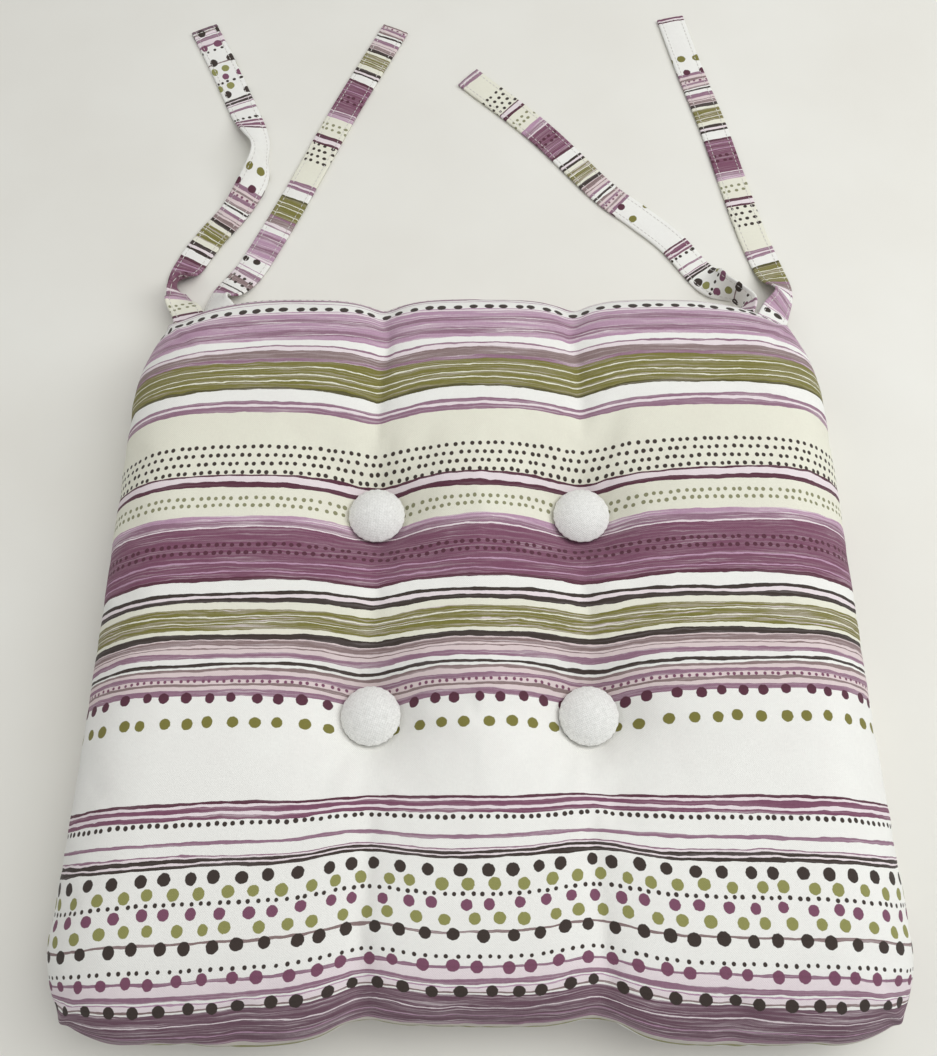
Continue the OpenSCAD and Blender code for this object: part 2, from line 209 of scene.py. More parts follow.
# Where each stripe starts, from the back seam forward, its colour, and how streaky its ink is
STRIPES = [
    (225, GROUND, 0), (212, LILAC, 0.5), (209.5, PLUM, 0.4), (206.2, GROUND, 0), (203.5, CHARCOAL, 0),
    (202.6, GROUND, 0), (198.5, TAUPE, 0.5), (194.6, BLUSH, 0), (191, MAUVE, 0.7), (187.4, GROUND, 0),
    (185.2, LILAC, 0.4), (184.4, GROUND, 0), (176.4, LILAC, 0.2), (175.6, BLUSH, 0), (174.3, LILAC, 1),
    (169.8, MAUVE, 1), (166.4, LILAC, 1), (161.5, MAUVE, 1), (158.0, LILAC, 1), (155.3, GROUND, 0),
    (151.4, MAUVE, 0.3), (150.5, BLUSH, 0), (148.4, TAUPE, 0.5), (144.0, MAUVE, 0.7), (142.3, OLIVE, 0.4),
    (138.6, CREAM, 0), (138.1, OLIVE, 0.4), (133.8, CREAM, 0), (133.2, OLIVE, 0.4), (130.6, CREAM, 0),
    (130.1, OLIVE, 0.4), (126.7, DARK_OLIVE, 0.2), (125.4, GROUND, 0), (118.4, MAUVE, 0.4),
    (116.6, BLUSH, 0), (115.3, MAUVE, 0.5), (112.3, CREAM, 0), (77.8, DEEP, 0.1), (76.5, BLUSH, 0),
    (73.4, DEEP, 0.1), (71.0, CREAM, 0), (55.6, LILAC, 1), (52.5, MAUVE, 1), (49.4, BLUSH, 0),
    (48.6, PLUM, 0.3), (30.6, LILAC, 0), (29.9, PLUM, 0.3), (25.6, LILAC, 0), (25.0, PLUM, 0.4),
    (22.6, DEEP, 0.1), (20.9, GROUND, 0), (15.5, CHARCOAL, 0), (13.8, BLUSH, 0), (11.9, CHARCOAL, 0.1),
    (9.5, CREAM, 0), (6.0, OLIVE, 0.8), (3.2, CREAM, 0), (2.7, OLIVE, 0.9), (-0.4, CREAM, 0),
    (-0.9, OLIVE, 0.9), (-4.2, CREAM, 0), (-6.2, CHARCOAL, 0.1), (-9.2, ROSE, 0), (-9.9, TAUPE, 0.6),
    (-12.4, ROSE, 0), (-13.4, TAUPE, 0.5), (-14.0, ROSE, 0), (-15.8, MAUVE, 0.6), (-18.3, GROUND, 0),
    (-20.5, CHARCOAL, 0.1), (-22.1, GROUND, 0), (-23.1, TAUPE, 0.3), (-24.7, ROSE, 0), (-26.6, MAUVE, 0.4),
    (-28.6, ROSE, 0), (-30.6, TAUPE, 0.3), (-31.9, ROSE, 0), (-33.8, MAUVE, 0.5), (-36.7, GROUND, 0),
    (-84.5, DEEP, 0.1), (-85.8, BLUSH, 0), (-87.0, PLUM, 0.2), (-89.2, BLUSH, 0), (-90.5, PLUM, 0.4),
    (-92.1, GROUND, 0), (-101.8, MAUVE, 0.3), (-103.5, GROUND, 0), (-107.6, MAUVE, 0.3), (-108.1, BLUSH, 0),
    (-108.8, CHARCOAL, 0.1), (-110.3, BLUSH, 0), (-111.1, CHARCOAL, 0.1), (-112.6, GROUND, 0),
    (-143.1, TAUPE, 0.3), (-144.3, GROUND, 0), (-158.1, MAUVE, 0.3), (-159.4, BLUSH, 0),
    (-163.9, MAUVE, 0.5), (-166.4, GROUND, 0), (-167.2, LILAC, 0.2), (-167.8, BLUSH, 0),
    (-169.8, TAUPE, 0.3), (-170.8, GROUND, 0), (-171.6, DUSK, 0.6), (-178.2, BLUSH, 0), (-178.7, DUSK, 0.6),
    (-184.6, LILAC, 0), (-185.1, DUSK, 0.6), (-190.2, MAUVE, 0.8), (-192.6, ASH, 0), (-196.0, MOSS, 0.6),
    (-199.0, GROUND, 0), (-206, MAUVE, 0.5), (-209, ASH, 0), (-213, TAUPE, 0.4), (-216, DARK_OLIVE, 0.4),
    (-224, ASH, 0), (-228, GROUND, 0),
]
# Rows of dots: middle of the first row, rows, distance between rows, pitch, radius, oval, seed, ink
DOTS = [
    (178.5, 1, 9.0, 8.4, 2.2, 1.15, 1, CHARCOAL), (92.8, 4, 4.6, 4.3, 1.12, 1.0, 2, CHARCOAL),
    (65.1, 2, 3.9, 4.1, 1.05, 1.0, 3, SAGE), (39.7, 2, 4.2, 4.2, 1.1, 1.1, 4, DEEP),
    (-29.6, 1, 4.0, 3.6, 0.8, 1.0, 5, PLUM), (-37.6, 1, 11.0, 10.7, 2.5, 1.0, 6, DEEP),
    (-49.6, 1, 12.0, 11.0, 2.6, 1.05, 7, OLIVE), (-94.2, 1, 5.0, 3.9, 1.12, 1.0, 8, CHARCOAL),
    (-117.1, 1, 10.0, 12.0, 2.85, 1.0, 9, CHARCOAL), (-123.3, 1, 10.0, 12.0, 2.7, 1.0, 10, MOSS),
    (-127.6, 1, 5.0, 4.2, 1.0, 1.0, 11, CHARCOAL), (-131.9, 1, 10.0, 12.0, 2.6, 1.0, 12, PLUM),
    (-138.2, 1, 10.0, 12.0, 2.7, 1.0, 13, MOSS), (-145.2, 1, 10.0, 12.0, 2.85, 1.0, 14, CHARCOAL),
    (-154.5, 1, 5.0, 4.7, 0.95, 1.0, 15, CHARCOAL), (-158.8, 1, 10.0, 12.0, 2.7, 1.0, 16, PLUM),
    (-170.2, 1, 10.0, 12.0, 2.8, 1.0, 17, CHARCOAL), (198, 2, 5.0, 4.5, 1.0, 1.0, 18, CHARCOAL),
]


def new_group(name, vectors, numbers, outputs):
    """A shader node group with named vector and number inputs, and its ends to link. Its outputs
    are numbers, apart from Colour."""
    tree = bpy.data.node_groups.new(name, "ShaderNodeTree")
    for key in vectors + numbers:
        kind = "NodeSocketVector" if key in vectors else "NodeSocketFloat"
        tree.interface.new_socket(key, in_out="INPUT", socket_type=kind)
    for key in outputs:
        kind = "NodeSocketColor" if key == "Colour" else "NodeSocketFloat"
        tree.interface.new_socket(key, in_out="OUTPUT", socket_type=kind)
    return tree, tree.nodes.new("NodeGroupInput").outputs, tree.nodes.new("NodeGroupOutput").inputs


def use(tree, group, values):
    """A group placed in a material, and its outputs."""
    return put(tree, "ShaderNodeGroup", values, node_tree=group).outputs


def dot_rows_group():
    """Rows of brushed dots: each cell of a grid holds one dot, moved, sized and shaped by random
    numbers of its own. Puts out their mask."""
    numbers = ["Middle", "Rows", "Between", "Pitch", "Radius", "Oval", "Seed"]
    tree, given, result = new_group("dot_rows", ["Cloth"], numbers, ["Mask"])
    split = put(tree, "ShaderNodeSeparateXYZ", {0: given["Cloth"]}).outputs
    row_place = calc(tree, "DIVIDE", minus(tree, given["Middle"], split[1]), given["Between"])
    row = calc(tree, "ROUND", row_place)
    last = calc(tree, "LESS_THAN", row, minus(tree, given["Rows"], 0.5))
    inside = times(tree, calc(tree, "GREATER_THAN", row, -0.5), last)
    shift = calc(tree, "MULTIPLY_ADD", row, ROW_SHIFT, times(tree, given["Seed"], SEED_SHIFT))
    slow = noise(tree, vector(tree, split[0], given["Seed"]), 0.02, 1.0)
    drift = spread(tree, slow, 0, 1, -0.3, 0.3)
    cell_place = plus(tree, plus(tree, calc(tree, "DIVIDE", split[0], given["Pitch"]), shift), drift)
    cell = calc(tree, "FLOOR", cell_place)
    key = vector(tree, cell, row, given["Seed"])
    chance = put(tree, "ShaderNodeTexWhiteNoise", {"Vector": key}, noise_dimensions="3D").outputs["Color"]
    a, b, c = put(tree, "ShaderNodeSeparateXYZ", {0: chance}).outputs
    across = minus(tree, minus(tree, cell_place, cell), spread(tree, a, 0, 1, 0.36, 0.64))
    across = times(tree, across, given["Pitch"])
    along = times(tree, minus(tree, row_place, row), given["Between"])
    along = minus(tree, along, times(tree, spread(tree, b, 0, 1, -0.22, 0.22), given["Radius"]))
    flat = vector(tree, calc(tree, "DIVIDE", across, given["Oval"]), along)
    far = put(tree, "ShaderNodeVectorMath", {0: flat}, operation="LENGTH").outputs["Value"]
    edge = spread(tree, noise(tree, given["Cloth"], 0.7, 1.0), 0, 1, -0.12, 0.12)
    size = times(tree, given["Radius"], plus(tree, spread(tree, c, 0, 1, 0.92, 1.07), edge))
    mask = spread(tree, minus(tree, size, far), -DOT_EDGE, DOT_EDGE, 0, 1)
    tree.links.new(times(tree, mask, inside), result["Mask"])
    return tree


def stripes_group():
    """The painted stripes: colour ramps, each over a short stretch of cloth, that follow the cloth
    with a slow wobble, and streaks of bare cloth in the dry-brushed bands."""
    tree, given, result = new_group("painted_stripes", ["Cloth"], [], ["Colour", "Ink"])
    split = put(tree, "ShaderNodeSeparateXYZ", {0: given["Cloth"]}).outputs
    slow = vector(tree, times(tree, split[0], 0.018), times(tree, split[1], 0.11))
    quick = vector(tree, times(tree, split[0], 0.12), times(tree, split[1], 0.35))
    wobble = spread(tree, noise(tree, slow, 1.0, 1.0), 0.2, 0.8, -1.1, 1.1)
    jitter = spread(tree, noise(tree, quick, 1.0, 2.0), 0.2, 0.8, -0.45, 0.45)
    along = plus(tree, plus(tree, split[1], wobble), jitter)
    colour = streaky = None
    first, last = STRIPES[0][0], STRIPES[-1][0]
    for k in range(math.ceil((first - last + 8) / RAMP_SPAN)):
        top = first - k * RAMP_SPAN
        inside = [stripe for stripe in STRIPES if top - RAMP_SPAN < stripe[0] < top]
        before = [stripe for stripe in STRIPES if stripe[0] >= top]
        inside = [(top, *before[-1][1:])] + inside
        ramp = put(tree, "ShaderNodeValToRGB", {"Fac": spread(tree, along, top, top - RAMP_SPAN, 0, 1)})
        ramp.color_ramp.interpolation = "CONSTANT"
        band = ramp.color_ramp.elements
        while len(band) < len(inside):
            band.new(1.0)
        for stop, (start, paint, dry) in zip(band, inside):
            stop.position, stop.color = (top - start) / RAMP_SPAN, (*paint[:3], dry)
        here, here_streaky = ramp.outputs
        if colour is None:
            colour, streaky = here, here_streaky
        else:
            past = calc(tree, "LESS_THAN", along, top)
            colour = blend_colour(tree, past, colour, here)
            values = {0: past, 2: streaky, 3: here_streaky}
            streaky = put(tree, "ShaderNodeMix", values, data_type="FLOAT").outputs[0]
    dry = noise(tree, vector(tree, times(tree, split[0], 0.022), times(tree, along, 1.15)), 1.0, 3.0, 0.6)
    bare = spread(tree, dry, 0.60, 0.635, 0, 1)
    pale = spread(tree, dry, 0.47, 0.6, 0, 0.45)
    bare = times(tree, calc(tree, "MAXIMUM", bare, pale), streaky)
    tree.links.new(blend_colour(tree, bare, colour, BLUSH), result["Colour"])
    tree.links.new(streaky, result["Ink"])
    return tree


def weave_group():
    """A plain weave: two sets of threads that pass over and under each other, one thread pitch
    apart, with uneven threads. Puts out its height and a mottle for the ink."""
    tree, given, result = new_group("plain_weave", ["Cloth"], ["Pitch"], ["Height", "Mottle"])
    values = {"Vector": given["Cloth"], "Scale": 0.25, "Detail": 2.0}
    bend = put(tree, "ShaderNodeTexNoise", values).outputs["Color"]
    values = {0: bend, 1: (0.6, 0.6, 0.0), 2: given["Cloth"]}
    moved = put(tree, "ShaderNodeVectorMath", values, operation="MULTIPLY_ADD").outputs[0]
    split = put(tree, "ShaderNodeSeparateXYZ", {0: moved}).outputs
    turns = [calc(tree, "DIVIDE", times(tree, split[k], math.pi), given["Pitch"]) for k in (0, 1)]
    waves = [calc(tree, "SINE", turn) for turn in turns]
    over = times(tree, *waves)
    threads = [calc(tree, "ABSOLUTE", wave) for wave in waves]
    height = plus(tree, times(tree, over, 0.4), times(tree, plus(tree, *threads), 0.3))
    yarns = []
    for grow in ((0.3, 1.5, 1.0), (1.5, 0.3, 1.0)):
        long = put(tree, "ShaderNodeVectorMath", {0: moved, 1: grow}, operation="MULTIPLY").outputs[0]
        yarns.append(noise(tree, long, 1.0, 1.0))
    uneven = times(tree, plus(tree, *yarns), 0.5)
    tree.links.new(plus(tree, height, times(tree, uneven, 0.3)), result["Height"])
    mottle = plus(tree, times(tree, over, 0.12), uneven)
    tree.links.new(spread(tree, mottle, 0.3, 0.7, 0, 1), result["Mottle"])
    return tree


STRIPES_GROUP, DOT_GROUP, WEAVE_GROUP = stripes_group(), dot_rows_group(), weave_group()


def printed_cotton(name):
    """The finished cloth: ground, stripes and dots, ink that sinks unevenly into the weave, and the
    weave's bump."""
    material, tree, shader = nodes_of(name)
    place = put(tree, "ShaderNodeUVMap", uv_map="cloth").outputs[0]
    painted = use(tree, STRIPES_GROUP, {"Cloth": place})
    weave = use(tree, WEAVE_GROUP, {"Cloth": place, "Pitch": THREAD_PITCH})
    colour = painted["Colour"]
    for *numbers, paint in DOTS:
        keys = ("Middle", "Rows", "Between", "Pitch", "Radius", "Oval", "Seed")
        values = {"Cloth": place, **dict(zip(keys, numbers))}
        colour = blend_colour(tree, use(tree, DOT_GROUP, values)["Mask"], colour, paint)
    wash = spread(tree, noise(tree, place, 0.06, 3.0), 0.3, 0.7, 0, 1)
    colour = blend_colour(tree, times(tree, wash, 0.10), colour, BLUSH, "MULTIPLY")
    depth = spread(tree, painted["Ink"], 0, 0.3, 0.10, 0.34)
    depth = times(tree, weave["Mottle"], depth)
    colour = blend_colour(tree, depth, colour, (0.6, 0.58, 0.58, 1), "MULTIPLY")
    rough = spread(tree, weave["Mottle"], 0, 1, 0.78, 0.92)
    finish_shader(tree, shader, colour, rough, COTTON_BUMP, COTTON_BUMP_DEPTH, weave["Height"])
    shader.inputs["Sheen Weight"].default_value = 0.08
    shader.inputs["Specular IOR Level"].default_value = 0.25
    return material


# ---- Top panel ----
# One piece of printed cotton over the crown. It wraps down over all four edges to the
# seam. Four tufts pull it into hollows, and creases run from them to the front and back
# edges, where the cloth pinches.

PAD_FRONT, PAD_BACK, PAD_DEEP = 0.400, 0.378, 0.382
FRONT_CORNER, BACK_CORNER = 0.044, 0.074
SIDE_PULL, FRONT_TUCK, TUCK_PAST = 0.002, 0.0115, 0.014
FRONT_PINCH, BACK_PINCH, PINCH_WIDTH = 0.005, 0.006, 0.016
SEAM_Z, CROWN_Z, CROWN_FALL, BULGE = 0.022, 0.060, 0.05, 0.012
COLUMN_X, TUFT_ROWS = 0.053, (0.059, -0.045)
TUFT_PULL, TUFT_FLAT, TUFT_WIDTH, GATHER = 0.0170, 0.012, 0.0125, 0.0007
WIDE_DIP, WIDE_DIP_REACH, ROW_DIP, ROW_DIP_WIDE = 0.0025, 0.045, 0.0020, 0.013
EDGE_REACH, EDGE_FULL, PANEL_CELLS, CLOTH_THICK = 0.050, 2.35, 128, 0.0008
SEAM_GATHER, SEAM_GATHERS, SEAM_GATHER_FADE = 0.0022, 96, 0.16
PUFF_PRESSURE, PUFF_EASE, PUFF_FRAMES, PUFF_CAP, TUFT_HELD_PAST = 2.0, 0.012, 20, 0.004, 0.003
PRINT_TURN = math.radians(0.7)


def bell(x):
    """A bell curve about each of the two columns of tufts."""
    return np.exp(-(((np.abs(x) - COLUMN_X) / PINCH_WIDTH) ** 2))


def edge_walk(share, half, reach, rise, full):
    """Walks over a rounded edge at even steps of cloth: level as far as half - reach, then down a
    quarter of a superellipse, reach wide and rise high. share runs from -1 to 1. Gives the
    distance out, the height as a share of rise, and the cloth's half width."""
    turn = np.linspace(0, math.pi / 2, 400)
    out, up = reach * np.sin(turn) ** (2 / full), np.cos(turn) ** (2 / full)
    walked = np.concatenate([[0], np.cumsum(np.hypot(np.diff(out), rise * np.diff(up)))])
    cloth = half - reach + walked[-1]
    over = np.clip(np.abs(share) * cloth - (half - reach), 0, None)
    distance = np.minimum(np.abs(share) * cloth, half - reach) + np.interp(over, walked, out)
    return np.sign(share) * distance, np.interp(over, walked, up), cloth


def seam_line():
    """The seam seen from above, as angles and distances from the pad's middle: a trapezium with
    round corners, its sides pulled in by half a sine, its front and back edges pinched in
    by a bell curve at each column of tufts."""
    front_x, front_y = PAD_FRONT / 2 - FRONT_CORNER, FRONT_CORNER - PAD_DEEP / 2
    back_x, back_y = PAD_BACK / 2 - BACK_CORNER, PAD_DEEP / 2 - BACK_CORNER
    run, turn = np.linspace(0, 1, 200), np.linspace(0, math.pi / 2, 60)
    tuck = FRONT_TUCK / (1 + (front_x * run / (COLUMN_X + TUCK_PAST)) ** 8)
    front = np.stack([front_x * run, -PAD_DEEP / 2 + tuck + FRONT_PINCH * bell(front_x * run)])
    first = np.stack([front_x + FRONT_CORNER * np.sin(turn), front_y - FRONT_CORNER * np.cos(turn)])
    pulled = front_x + FRONT_CORNER + (PAD_BACK - PAD_FRONT) / 2 * run - SIDE_PULL * np.sin(math.pi * run)
    side = np.stack([pulled, front_y + (back_y - front_y) * run])
    second = np.stack([back_x + BACK_CORNER * np.cos(turn), back_y + BACK_CORNER * np.sin(turn)])
    back = np.stack([back_x * (1 - run), PAD_DEEP / 2 - BACK_PINCH * bell(back_x * (1 - run))])
    x, y = np.concatenate([front, first, side, second, back], 1)
    x, y = np.concatenate([x, -x[::-1]]), np.concatenate([y, y[::-1]])
    return np.arctan2(y, x), np.hypot(x, y)


def pad_form(cells, reach, rise, full):
    """The pad's plan and edge on a square grid of cloth, p and q from -1 to 1: both ways walk over
    the edges, powers of p and q draw the corners in, and last the whole is eased until its rim
    lies on the seam. Gives x, y, the height as a share of rise, and each point's flat place."""
    p, q = np.meshgrid(np.linspace(-1, 1, cells + 1), np.linspace(-1, 1, cells + 1))
    x, up_x, cloth_x = edge_walk(p, PAD_FRONT / 2, reach, rise, full)
    y, up_y, cloth_y = edge_walk(q, PAD_DEEP / 2, reach, rise, full)
    x = x * (1 + (PAD_BACK / PAD_FRONT - 1) * (1 + q) / 2)
    cut = np.where(q > 0, 0.59 * BACK_CORNER, 0.59 * FRONT_CORNER) / PAD_DEEP
    power = np.where(q > 0, 4.4, 7.5)
    x, y = x * (1 - cut * np.abs(q) ** power * p**2), y * (1 - cut * np.abs(p) ** power * q**2)
    rim = np.concatenate([np.stack([a[0], a[-1], a[:, 0], a[:, -1]]).reshape(-1)[None] for a in (x, y)])
    order = np.argsort(np.arctan2(rim[1], rim[0]))
    rim_angle, rim_far = np.arctan2(rim[1], rim[0])[order], np.hypot(*rim)[order]
    seam_angle, seam_far = seam_line()
    angle = np.arctan2(y, x)
    ease = np.interp(angle, np.sort(seam_angle), seam_far[np.argsort(seam_angle)], period=2 * math.pi)
    ease = ease / np.interp(angle, rim_angle, rim_far, period=2 * math.pi) - 1
    ease = 1 + ease * np.maximum(np.abs(p), np.abs(q)) ** 6
    return x * ease, y * ease, up_x * up_y, p * cloth_x / MM, q * cloth_y / MM


def grid_surface(name, points, cloth):
    """A mesh of quads over a grid of points, with a UV map that holds each point's place on the
    flat cloth in millimetres."""
    rows, columns = points.shape[:2]
    index = np.arange(rows * columns).reshape(rows, columns)
    quads = np.stack([index[:-1, :-1], index[:-1, 1:], index[1:, 1:], index[1:, :-1]], -1).reshape(-1, 4)
    made = add_mesh(name, points.reshape(-1, 3), quads)
    flat = cloth.reshape(-1, 2)[quads.reshape(-1)].astype(np.float32)
    made.data.uv_layers.new(name="cloth").data.foreach_set("uv", flat.reshape(-1))
    return made


def tuft_relief(x, y):
    """How far the tufts pull the crown down: a funnel about each tuft, flat under the button, with
    a wide dip round it and fine gathers that run out from it, a crease along each column of
    tufts that deepens towards the edges, and a shallow dip along each row."""
    pull, wide = np.zeros_like(x), np.zeros_like(x)
    for row in TUFT_ROWS:
        out, along = np.abs(x) - COLUMN_X, y - row
        far, angle = np.hypot(out, along), np.arctan2(along, out)
        funnel = TUFT_PULL / (1 + (np.clip(far - TUFT_FLAT, 0, None) / TUFT_WIDTH) ** 2)
        wander = 2 * np.sin(3 * angle + np.sign(x) + 40 * row)
        gather = np.sin(11 * angle + wander) * (far / 0.02) ** 2 * np.exp(-((far / 0.022) ** 2))
        fold = np.sin(5 * angle + wander) * (far / 0.035) ** 2 * np.exp(-((far / 0.035) ** 2))
        gather = gather + 1.6 * fold
        pull = np.maximum(pull, funnel + GATHER * gather)
        wide = wide + WIDE_DIP / (1 + (far / WIDE_DIP_REACH) ** 2)
        wide = wide + ROW_DIP / (1 + (along / ROW_DIP_WIDE) ** 2) / (1 + (np.abs(x) / 0.08) ** 6)
    beside = np.abs(x) - COLUMN_X + 0.0015 * np.sin(y / 0.02)
    crease = 0.7 / (1 + (beside / 0.013) ** 2) + 0.3 / (1 + (beside / 0.0045) ** 2)
    rows = [-0.19, -0.12, -0.045, 0.007, 0.059, 0.11, 0.19]
    deep = np.interp(y, rows, [0.0065, 0.005, 0.001, 0.0045, 0.001, 0.0065, 0.008])
    return pull + wide + crease * deep


def crown_height(x, y, up, rise):
    """The crown above the underside before it is tufted: the seam's height plus a share of the
    rise, which falls off as the square of the distance from the middle."""
    return SEAM_Z + rise * up * (1 - CROWN_FALL * ((x / 0.15) ** 2 + (y / 0.15) ** 2))


def seam_pucker(x, y, up):
    """Small gathers along the seam: an uneven wave of the angle about the middle that fades
    with height, as a share of the distance from the middle."""
    angle = np.arctan2(y, x)
    wave = np.sin(SEAM_GATHERS * angle + 4 * np.sin(5 * angle) + 2 * np.sin(17 * angle))
    return SEAM_GATHER * wave * np.exp(-up / SEAM_GATHER_FADE)


def puffed(piece, held, cap):
    """Cloth simulation: the held points stay, and air pressure under slightly generous cloth fills
    the rest, which moves by at most the cap."""
    scene, mesh = bpy.context.scene, piece.data
    before = np.empty(len(mesh.vertices) * 3)
    mesh.vertices.foreach_get("co", before)
    piece.vertex_groups.new(name="held").add(np.flatnonzero(held.reshape(-1)).tolist(), 1.0, "REPLACE")
    modifier = piece.modifiers.new("puff", "CLOTH")
    cloth = modifier.settings
    cloth.quality, cloth.mass, cloth.air_damping = 6, 0.2, 4
    cloth.tension_stiffness = cloth.compression_stiffness = 20
    cloth.shear_stiffness, cloth.bending_stiffness = 8, 0.3
    cloth.use_pressure, cloth.uniform_pressure_force = True, PUFF_PRESSURE
    cloth.shrink_min = -PUFF_EASE
    cloth.vertex_group_mass = "held"
    cloth.effector_weights.gravity = 0
    modifier.collision_settings.use_collision = False
    for step in range(1, PUFF_FRAMES + 1):
        scene.frame_set(step)
    settled = piece.evaluated_get(bpy.context.evaluated_depsgraph_get()).to_mesh()
    after = np.empty_like(before)
    settled.vertices.foreach_get("co", after)
    piece.modifiers.remove(modifier)
    piece.vertex_groups.clear()
    scene.frame_set(1)
    move = (after - before).reshape(-1, 3)
    far = np.linalg.norm(move, axis=1, keepdims=True)
    mesh.vertices.foreach_set("co", (before.reshape(-1, 3) + move * cap / (cap + far)).reshape(-1))
    mesh.update()


def finish_cloth(piece, levels, thick):
    """Smooths a cloth surface with live subdivision and gives it its thickness inwards."""
    if levels:
        smooth = piece.modifiers.new("smooth", "SUBSURF")
        smooth.levels = smooth.render_levels = levels
    wall = piece.modifiers.new("thickness", "SOLIDIFY")
    wall.thickness, wall.offset, wall.use_even_offset = thick, -1, True


def print_bow(x, y):
    """How far the cloth was pulled along its length when it was sewn and tufted, in millimetres: a
    share for the creases at the columns, one that grows as the square of x, one for the side
    edges, and a slight turn. Each share but the last changes along the pad."""
    rows = [-180, -110, -45, 10, 65, 120, 180]
    beside = np.exp(-(((np.abs(x) - 53) / 22) ** 2))
    crease = np.interp(y, rows, [-4.8, -4.4, 2.8, 3.5, 0.4, 5.0, -1.1]) * beside
    bow = np.interp(y, rows, [8.7, 5.6, -0.5, 1.5, 0.8, -1.8, -1.9]) * (x / 200) ** 2
    edge = np.interp(y, rows, [1.3, -1.3, 4.7, 6.2, 5.8, 9.7, 0]) * (x / 200) ** 8
    return crease + bow + edge - x / 200 * (0.7 + 1.7 * y / 190)


x, y, up, s, t = pad_form(PANEL_CELLS, EDGE_REACH, CROWN_Z - SEAM_Z, EDGE_FULL)
z = crown_height(x, y, up, CROWN_Z - SEAM_Z)
x, y = (a * (1 + BULGE * 4 * up * (1 - up) + seam_pucker(x, y, up)) for a in (x, y))
z = z - tuft_relief(x, y) * np.sqrt(np.clip(up, 0, 1))
t = t + print_bow(x / MM, y / MM)
cosine, sine = math.cos(PRINT_TURN), math.sin(PRINT_TURN)
cloth = np.stack([s * cosine + t * sine, t * cosine - s * sine], -1)
top_panel = grid_surface("top_cover", np.stack([x, y, z], -1), cloth)
held = np.zeros_like(x, bool)
for row in TUFT_ROWS:
    held |= np.hypot(np.abs(x) - COLUMN_X, y - row) < TUFT_FLAT + TUFT_HELD_PAST
held[[0, -1]] = held[:, [0, -1]] = True
puffed(top_panel, held, PUFF_CAP)
finish_cloth(top_panel, 1, CLOTH_THICK)
COVER_PRINT = printed_cotton("printed_cover")
top_panel.data.materials.append(COVER_PRINT)
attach(top_panel, "root")
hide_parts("top_panel")

# ---- Bottom panel ----
# The second piece of the same printed cotton, flat where the pad rests and turned up round
# the foot to the seam. At each tuft the backing button pulls it in.

FOOT_REACH, FOOT_FULL, FOOT_CELLS, FOOT_PRINT = 0.016, 2.2, 96, (31, -17)
RECESS, RECESS_FLAT, RECESS_WIDE = 0.0078, 0.0105, 0.010


def under_relief(x, y):
    """How far the underside is drawn up: flat under each backing button, easing out round it."""
    up = np.zeros_like(x)
    for row in TUFT_ROWS:
        far = np.hypot(np.abs(x) - COLUMN_X, y - row)
        share = np.clip(1 - (far - RECESS_FLAT) / RECESS_WIDE, 0, 1)
        up = np.maximum(up, RECESS * share * share * (3 - 2 * share))
    return up


x, y, up, s, t = pad_form(FOOT_CELLS, FOOT_REACH, SEAM_Z, FOOT_FULL)
x, y = (a * (1 + seam_pucker(x, y, up)) for a in (x, y))
z = SEAM_Z * (1 - up) + under_relief(x, y)
cloth = np.stack([FOOT_PRINT[0] - s, FOOT_PRINT[1] + t], -1)
bottom_panel = grid_surface("bottom_cover", np.stack([x, y, z], -1)[:, ::-1], cloth[:, ::-1])
finish_cloth(bottom_panel, 1, CLOTH_THICK)
bottom_panel.data.materials.append(COVER_PRINT)
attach(bottom_panel, "root")
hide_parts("bottom_panel")

# ---- Filling ----
# One block of white fibre filling, crowned like the cover and a little smaller all round. It is
# loose inside the cover, and the tufts press hollows into both its faces.

FILLING_SHRINK, FILLING_GAP, FILLING_CELLS = 0.985, 0.0022, 80
HAIR_STRETCH, WELD = (900, 120, 500), 1e-6


def drawn_grain_group():
    """Noise stretched one way by a vector: hairs, drawn lines and scuffs. Puts out its value."""
    tree, given, result = new_group("drawn_grain", ["Place", "Stretch"], ["Detail"], ["Grain"])
    values = {0: given["Place"], 1: given["Stretch"]}
    long = put(tree, "ShaderNodeVectorMath", values, operation="MULTIPLY").outputs[0]
    tree.links.new(noise(tree, long, 1.0, given["Detail"]), result["Grain"])
    return tree


GRAIN_GROUP = drawn_grain_group()


def fibre_filling(name):
    """White fibre: soft clumps with fine crossing hairs in its bump."""
    material, tree, shader = nodes_of(name)
    place = put(tree, "ShaderNodeTexCoord").outputs["Object"]
    clump = noise(tree, place, 70.0, 4.0, 0.6)
    hair = use(tree, GRAIN_GROUP, {"Place": place, "Stretch": HAIR_STRETCH, "Detail": 4.0})["Grain"]
    colour = blend_colour(tree, clump, ink(226, 225, 220), ink(247, 247, 244))
    rough = spread(tree, hair, 0.3, 0.7, 0.85, 1.0)
    finish_shader(tree, shader, colour, rough, 0.6, 0.0006, plus(tree, clump, times(tree, hair, 0.4)))
    shader.inputs["Sheen Weight"].default_value = 0.3
    return material


def welded(piece):
    """Merges points that lie on each other and turns every face outwards."""
    shell = bmesh.new()
    shell.from_mesh(piece.data)
    bmesh.ops.remove_doubles(shell, verts=shell.verts, dist=WELD)
    bmesh.ops.recalc_face_normals(shell, faces=shell.faces)
    shell.to_mesh(piece.data)
    shell.free()


